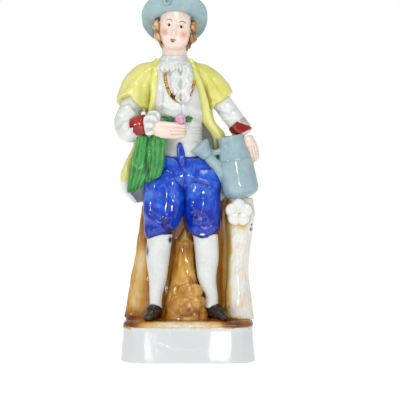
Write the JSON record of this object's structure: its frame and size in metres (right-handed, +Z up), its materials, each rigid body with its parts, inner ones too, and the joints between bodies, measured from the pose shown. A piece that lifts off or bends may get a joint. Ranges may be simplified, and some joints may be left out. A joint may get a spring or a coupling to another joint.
{
  "type": "porcelain figurine",
  "caption": "Painted porcelain figurine of a gardener in old-fashioned dress, standing on a rounded plinth beside a stump with a watering can.",
  "frame": {"origin": "middle of the plinth's flat underside", "axes": "+Z up through the figure, -Y the way the figure faces, +X to a viewer's right"},
  "size_m": [0.0781, 0.044, 0.2003],
  "materials": {
    "white_glaze": "clear gloss glaze over white porcelain",
    "brown_wash": "streaky brown overglaze wash",
    "black_enamel": "glossy black overglaze enamel",
    "cobalt_enamel": "pooled cobalt blue overglaze enamel",
    "flesh_enamel": "thin flesh tint over clear glaze",
    "hair_enamel": "brushed brown overglaze enamel",
    "grey_blue_enamel": "even grey-blue gloss enamel",
    "bright_gold": "fired bright gold line over glaze",
    "yellow_enamel": "pale yellow gloss enamel",
    "red_enamel": "brick red overglaze enamel",
    "rose_enamel": "pink overglaze enamel",
    "green_enamel": "brushed green overglaze enamel"
  },
  "bodies": {
    "root": {"plinth": "white_glaze", "ground": "brown_wash", "trunk": "brown_wash", "trunk_root": "brown_wash", "rockwork": "brown_wash", "stump": "white_glaze", "stump_blossom": "white_glaze", "right_shoe": "black_enamel", "left_shoe": "black_enamel", "right_stocking": "white_glaze", "left_stocking": "white_glaze", "right_breeches_leg": "cobalt_enamel", "left_breeches_leg": "cobalt_enamel", "breeches_seat": "cobalt_enamel", "fall_flap": "cobalt_enamel", "waistcoat": "white_glaze", "neck": "flesh_enamel", "neck_stock": "white_glaze", "head": "flesh_enamel", "hair_cap": "hair_enamel", "right_curls": "hair_enamel", "left_curls": "hair_enamel", "hat": "grey_blue_enamel", "hat_rosette": "grey_blue_enamel", "collar_frill": "white_glaze", "jabot": "white_glaze", "gilt_chain": "bright_gold", "gilt_pendant": "bright_gold", "coat": "yellow_enamel", "right_coat_sleeve": "yellow_enamel", "left_coat_sleeve": "yellow_enamel", "right_sleeve": "white_glaze", "left_sleeve": "white_glaze", "right_cuff_band": "red_enamel", "left_cuff_band": "red_enamel", "right_ruffle": "white_glaze", "right_hand": "flesh_enamel", "left_hand": "flesh_enamel", "rose": "rose_enamel", "rose_leaves": "green_enamel", "kerchief_short_fall": "green_enamel", "kerchief_long_fall": "green_enamel", "can_body": "grey_blue_enamel", "can_spout": "grey_blue_enamel", "can_rose": "grey_blue_enamel", "can_handle": "grey_blue_enamel"}
  },
  "joints": []
}
